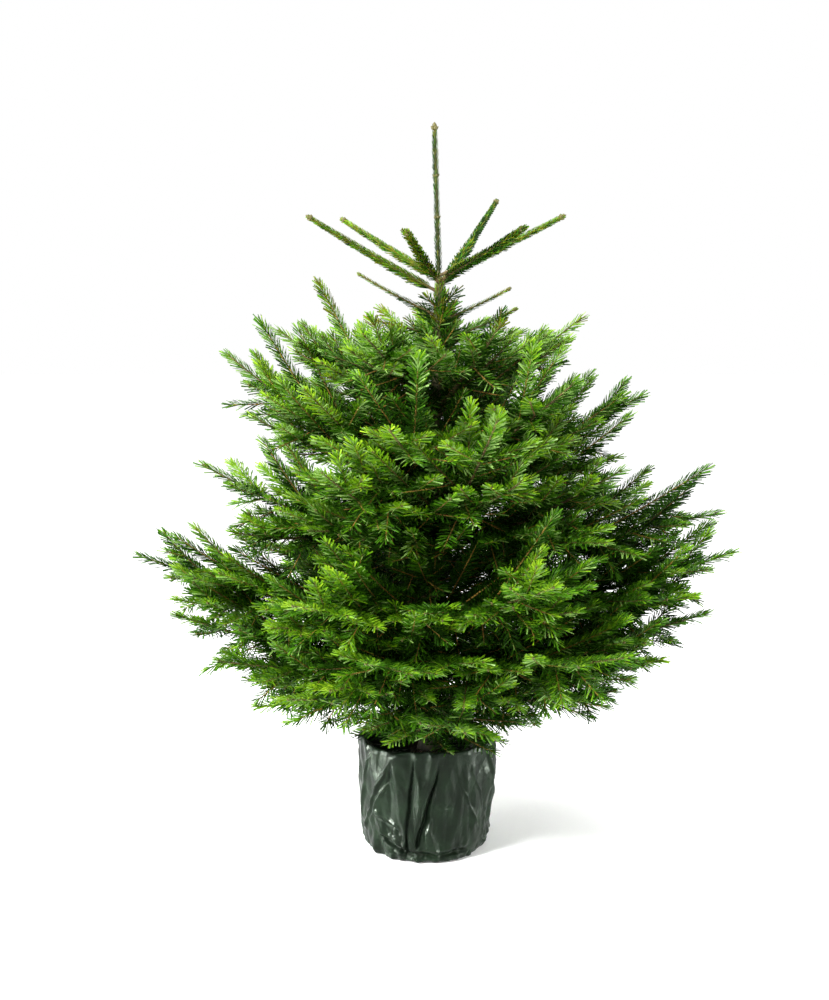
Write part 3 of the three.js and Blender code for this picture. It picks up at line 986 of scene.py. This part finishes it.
makeTrunk()
print("trunk made")


# Bag and compost

bag = {
    "columns": 500,
    "rowHeight": 1.75,  # up the side
    "rowHeightInside": 3.0,
    "rowWidthBelow": 8.0,  # under the pot
    "rowHidden": 15,  # in the five stretches that don't show
    "radius": 112,
    "rimWave": 2.0,
    "rimFlare": (-96, 24, 5),  # angle, half width and height of the rim's high side
    "tension": 1.5,  # height of the upright tension folds
    "tensionWaves": 7,
    "tensionSlope": (-0.4, 0.3),
    "tensionSpan": (16, 64),
    "billow": 1.6,  # of the broad swells between them
    "crumple": 1.7,
    "tuckLip": 2.4,
    "gather": 3.0,  # depth of the creases near the foot
    "gatherFade": (10, 52),
    "inside": 7.0,  # of the loose film inside the rim
    "insideCrumple": 4.0,
    "pull": (80, 34, 7.5),  # angle, half width and depth of the lower side's pull inwards
    "pullFade": (25, 120),
}
# The film's way, as radius and height: under the pot, up its side, over its rim, down inside,
# over the compost, and back under it to the bottom.
bagPath = np.array([
    (2, 0), (50, 0), (92, 0), (101, 3), (106, 11), (109, 30), (112, 70), (114, 120), (115, 165),
    (115.3, 184), (113.8, 190.5), (111, 192.5), (108.6, 190), (107, 183), (103, 176), (84, 173),
    (40, 172), (38, 164), (100, 150), (94, 14), (40, 9), (2, 9),
])
rimCorner, compostCorner = 11, 16  # of the path
# Each fold's lowest and highest point and its angle at each, in degrees from the front, then its height
# outwards or depth inwards, its half width, and how far the film on one side laps over it.
bagFolds = np.array([
    (12, 180, -20, -12, -7.5, 2.0, -4.0),
    (24, 170, -11, 9, -8.0, 2.4, -3.4),
    (50, 186, -79, -56, 5.0, 4.2, 0.0),
    (40, 176, -68, -33, 5.5, 4.2, -2.0),
    (60, 138, -58, -35, 4.4, 3.2, 1.4),
    (136, 172, -36, -31, -5.0, 2.2, 0.0),
    (112, 168, -6, -10, 3.6, 4.2, 0.0),
    (52, 136, 0, 6, 3.8, 3.4, 0.0),
    (8, 62, 10, 1, 3.4, 3.4, 0.0),
    (56, 130, 49, 29, 3.6, 2.4, 0.0),
    (80, 156, 57, 40, 3.0, 2.4, -1.0),
    (110, 190, 68, 57, 5.0, 3.4, 0.0),
    (18, 178, 96, 104, -6.5, 2.2, 3.2),
    (40, 176, 121, 128, 3.0, 3.4, 0.0),
    (22, 160, 150, 140, -7.0, 2.4, -3.4),
    (30, 182, 172, 166, 3.0, 3.6, 0.0),
    (20, 174, -168, -160, -6.5, 2.2, 3.4),
    (60, 180, -146, -138, 3.4, 4.0, 0.0),
    (24, 166, -118, -126, -6.8, 2.2, -3.2),
    (40, 178, -98, -92, 3.0, 3.4, 0.0),
])
# Level tucks: angles where each starts and ends, its heights there and between, its rise and half width.
bagTucks = np.array([
    (-46, -20, 42, 29, 19, -8.5, 4.6),
    (-20, 38, 17, 15, 17, -9.5, 6.2),
    (-34, 34, 5, 6, 5, 2.0, 3.6),
    (-50, -24, 74, 64, 52, -4.5, 2.2),
    (60, 118, 16, 24, 12, -5.0, 3.0),
    (150, 200, 12, 20, 14, -6.0, 3.4),
    (215, 262, 26, 12, 18, -5.0, 3.0),
])


def wrapDegrees(angle):
    # The same direction between -180 and 180.
    return (angle + 180) % 360 - 180


def ridged(points, seed, sharpness):
    # Narrow crests where smooth noise passes through zero.
    return (1 - np.abs(softNoise(points, seed))) ** sharpness


def sharpFolds(around, height, seed):
    # Straight creases: triangle waves across near-upright lines, each only where its own noise allows it.
    random = np.random.default_rng(seed)
    total = 0 * around
    for wave in range(bag["tensionWaves"]):
        slope, length = random.uniform(*bag["tensionSlope"]), random.uniform(*bag["tensionSpan"])
        shift = random.uniform(0, 1)
        line = (around + slope * height) / length + shift
        layer = 0 * around + wave
        line = line + 0.3 * softNoise(np.stack([around / 40, height / 60, layer], axis=-1), seed)
        patch = softNoise(np.stack([around / 50, height / 70, 9 * layer], axis=-1), seed + 1)
        total = total + length / 30 * easeBetween(-0.1, 0.5, patch) * (1 - np.abs(line % 1 - 0.5) * 4)
    return total


def filmFolds(angle, height, place):
    # Height of the folds: pleats and tucks from the lists, tension folds, crumpled patches, creases below.
    total = 0 * angle
    for low, high, angleLow, angleHigh, rise, halfWidth, lap in bagFolds:
        share = np.clip((height - low) / (high - low), 0, 1)
        middle = angleLow + (angleHigh - angleLow) * share + 1.4 * softNoise(place / 24, 11)
        away = np.radians(wrapDegrees(angle - middle)) * bag["radius"]
        within = easeBetween(low - 6, low + 12, height) * (1 - easeBetween(high - 26, high + 6, height))
        width = halfWidth * (1.25 - 0.7 * share)
        beside = np.where(away * np.sign(lap) > 0, np.abs(away), 1e3)
        overlap = abs(lap) * easeBetween(0.2, width, beside) * np.exp(-beside / 13)
        total = total + within * (rise * np.exp(-(away / width) ** 2) + overlap)
    for start, end, first, middle, last, rise, halfWidth in bagTucks:
        centre, half = (start + end) / 2, (end - start) / 2
        share = wrapDegrees(angle - centre) / half
        line = np.interp(share, [-1, 0, 1], [first, middle, last]) + 3.0 * softNoise(place / 16, 12)
        within = 1 - easeBetween(0.8, 1.1, np.abs(share))
        away = height - line
        lip = bag["tuckLip"] * np.exp(-((away - 8) / 5) ** 2)
        total = total + within * (rise * np.exp(-(away / halfWidth) ** 2) + lip)
    total = total + bag["tension"] * sharpFolds(np.radians(angle) * bag["radius"], height, 13)
    total = total + bag["billow"] * softNoise(place / np.array([26, 26, 38]), 20)
    patch = easeBetween(0, 0.6, softNoise(place / 34, 14))
    crumple = ridged(place / 10, 15, 1.5) + 0.5 * ridged(place / 5, 16, 1.5)
    total = total + bag["crumple"] * (0.15 + 0.85 * patch) * (crumple - 0.5)
    creases = ridged(np.stack([angle / 9, height / 26, 0 * angle], axis=-1), 17, 3)
    return total - bag["gather"] * creases * (1 - easeBetween(*bag["gatherFade"], height))


def filmMaterial():
    # Dark polyethylene film: thin and smooth, so its creases catch the light sharply, with a green cast.
    gloss = {
        "Roughness": 0.32, "IOR": 1.3, "Specular IOR Level": 0.25, "Specular Tint": (0.84, 1.0, 0.82, 1.0),
    }
    material, tree, shader, place = newMaterial("dark polyethylene film, creased", gloss)
    mottle(tree, place, shader, 30, 4.0, "#080d08", "#111b11", (0.3, 0.7))
    cells = {"Vector": place, "Scale": 1 / (15 * mm)}
    facets = addNode(tree, "TexVoronoi", cells, feature="DISTANCE_TO_EDGE").outputs["Distance"]
    crushed = addNode(tree, "Bump", {"Height": facets, "Strength": 0.3, "Distance": 1.6 * mm})
    wrinkles = addNode(tree, "TexNoise", {"Vector": place, "Scale": 1 / (5 * mm), "Detail": 3.0})
    bump = addNode(tree, "Bump", {
        "Height": wrinkles.outputs["Fac"], "Normal": crushed.outputs["Normal"], "Strength": 0.5,
        "Distance": 0.9 * mm,
    })
    tree.links.new(bump.outputs["Normal"], shader.inputs["Normal"])
    return material


def alongPath(path, spacing):
    # Points along a bent line, so many millimetres apart for each of its stretches.
    steps = [max(1, round(np.hypot(*(path[i + 1] - path[i])) / spacing[i])) for i in range(len(path) - 1)]
    share = np.concatenate([i + np.arange(n) / n for i, n in enumerate(steps)] + [[len(path) - 1]])
    corner = np.arange(len(path))
    return np.interp(share, corner, path[:, 0]), np.interp(share, corner, path[:, 1]), share


def turned(path, spacing, columns, start):
    # A path of radii and heights, turned round from the start angle: its values at each point of the grid.
    radius, height, share = alongPath(path, spacing)
    radius, angle = np.meshgrid(radius, np.arange(columns) / columns * 360, indexing="ij")
    height, share = (np.repeat(a[:, None], columns, axis=1) for a in (height, share))
    around = np.radians(angle + start)
    outward = np.stack([np.cos(around), np.sin(around), 0 * around], axis=-1)
    place = outward * radius[..., None] + up * height[..., None]
    return radius, height, share, angle, outward, place


def makeBag():
    # The film turns round from the front, with its folds added to the radius and its waves to the rim.
    spacing = np.where(bagPath[1:, 0] < 90, bag["rowWidthBelow"], bag["rowHeight"])
    spacing[rimCorner:] = bag["rowHeightInside"]
    spacing[-5:] = bag["rowHidden"]
    radius, height, share, angle, outward, place = turned(bagPath, spacing, bag["columns"], -90)

    rim = easeBetween(140, 186, height)
    wave = np.sin(np.radians(2 * angle) + 0.6) + 0.7 * np.sin(np.radians(5 * angle) + 2)
    wave = wave + 0.6 * softNoise(outward * 9, 24)
    middle, halfWidth, rise = bag["rimFlare"]
    flare = rise * np.exp(-(wrapDegrees(angle - middle) / halfWidth) ** 2)
    toInside = easeBetween(rimCorner - 2, rimCorner + 0.5, share)
    middle, halfWidth, depth = bag["pull"]
    pull = depth * np.exp(-(wrapDegrees(angle - middle) / halfWidth) ** 2)
    pull = pull * (1 - easeBetween(*bag["pullFade"], height))
    folds = filmFolds(wrapDegrees(angle), height, place) - pull
    folds = folds * (1 - toInside) * easeBetween(60, 95, radius)
    loose = ridged(np.stack([angle / 11, radius / 30, height / 30], axis=-1), 18, 2) - 0.5
    loose = bag["inside"] * loose + bag["insideCrumple"] * (ridged(place / 9, 19, 2) - 0.5)
    loose = loose * easeBetween(rimCorner, rimCorner + 3, share)
    loose = loose * (1 - easeBetween(compostCorner, compostCorner + 1, share))
    surface = place + outward * (folds - 0.3 * loose)[..., None]
    rise = rim * (bag["rimWave"] * wave + flare) * (share < compostCorner + 0.5) + 0.8 * loose
    surface = surface + up * rise[..., None]
    piece = makePiece("bag_film", surface, closedTubes(*angle.shape), filmMaterial(), "bag_film")
    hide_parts("pot_bag")


compost = {
    "columns": 180,
    "path": np.array([(0.5, 12), (94, 12), (104, 150), (105.5, 162), (102, 167), (24, 168), (0.5, 168)]),
    "spacing": [20, 30, 6, 3, 1.6, 4],
    "lumps": [(3.0, 13, 21), (1.8, 5, 22), (1.0, 2.4, 23)],  # height, width and seed
}


def makeCompost():
    # A profile turned round: plain sides that the bag hides, and a lumpy top.
    material, tree, shader, place = newMaterial("peat compost, coarse and damp", {"Roughness": 0.95})
    mottle(tree, place, shader, 5, 6.0, "#120c08", "#3f2c1c", (0.35, 0.7))
    grid = turned(compost["path"], compost["spacing"], compost["columns"], 0)
    height, place = grid[1], grid[5]
    lumps = sum(rise * softNoise(place / width, seed) for rise, width, seed in compost["lumps"])
    surface = place + up * (lumps * easeBetween(155, 166, height))[..., None]
    piece = makePiece("compost_surface", surface, closedTubes(*height.shape), material, "compost")
    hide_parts("compost")


makeBag()
makeCompost()
print("bag and compost made")
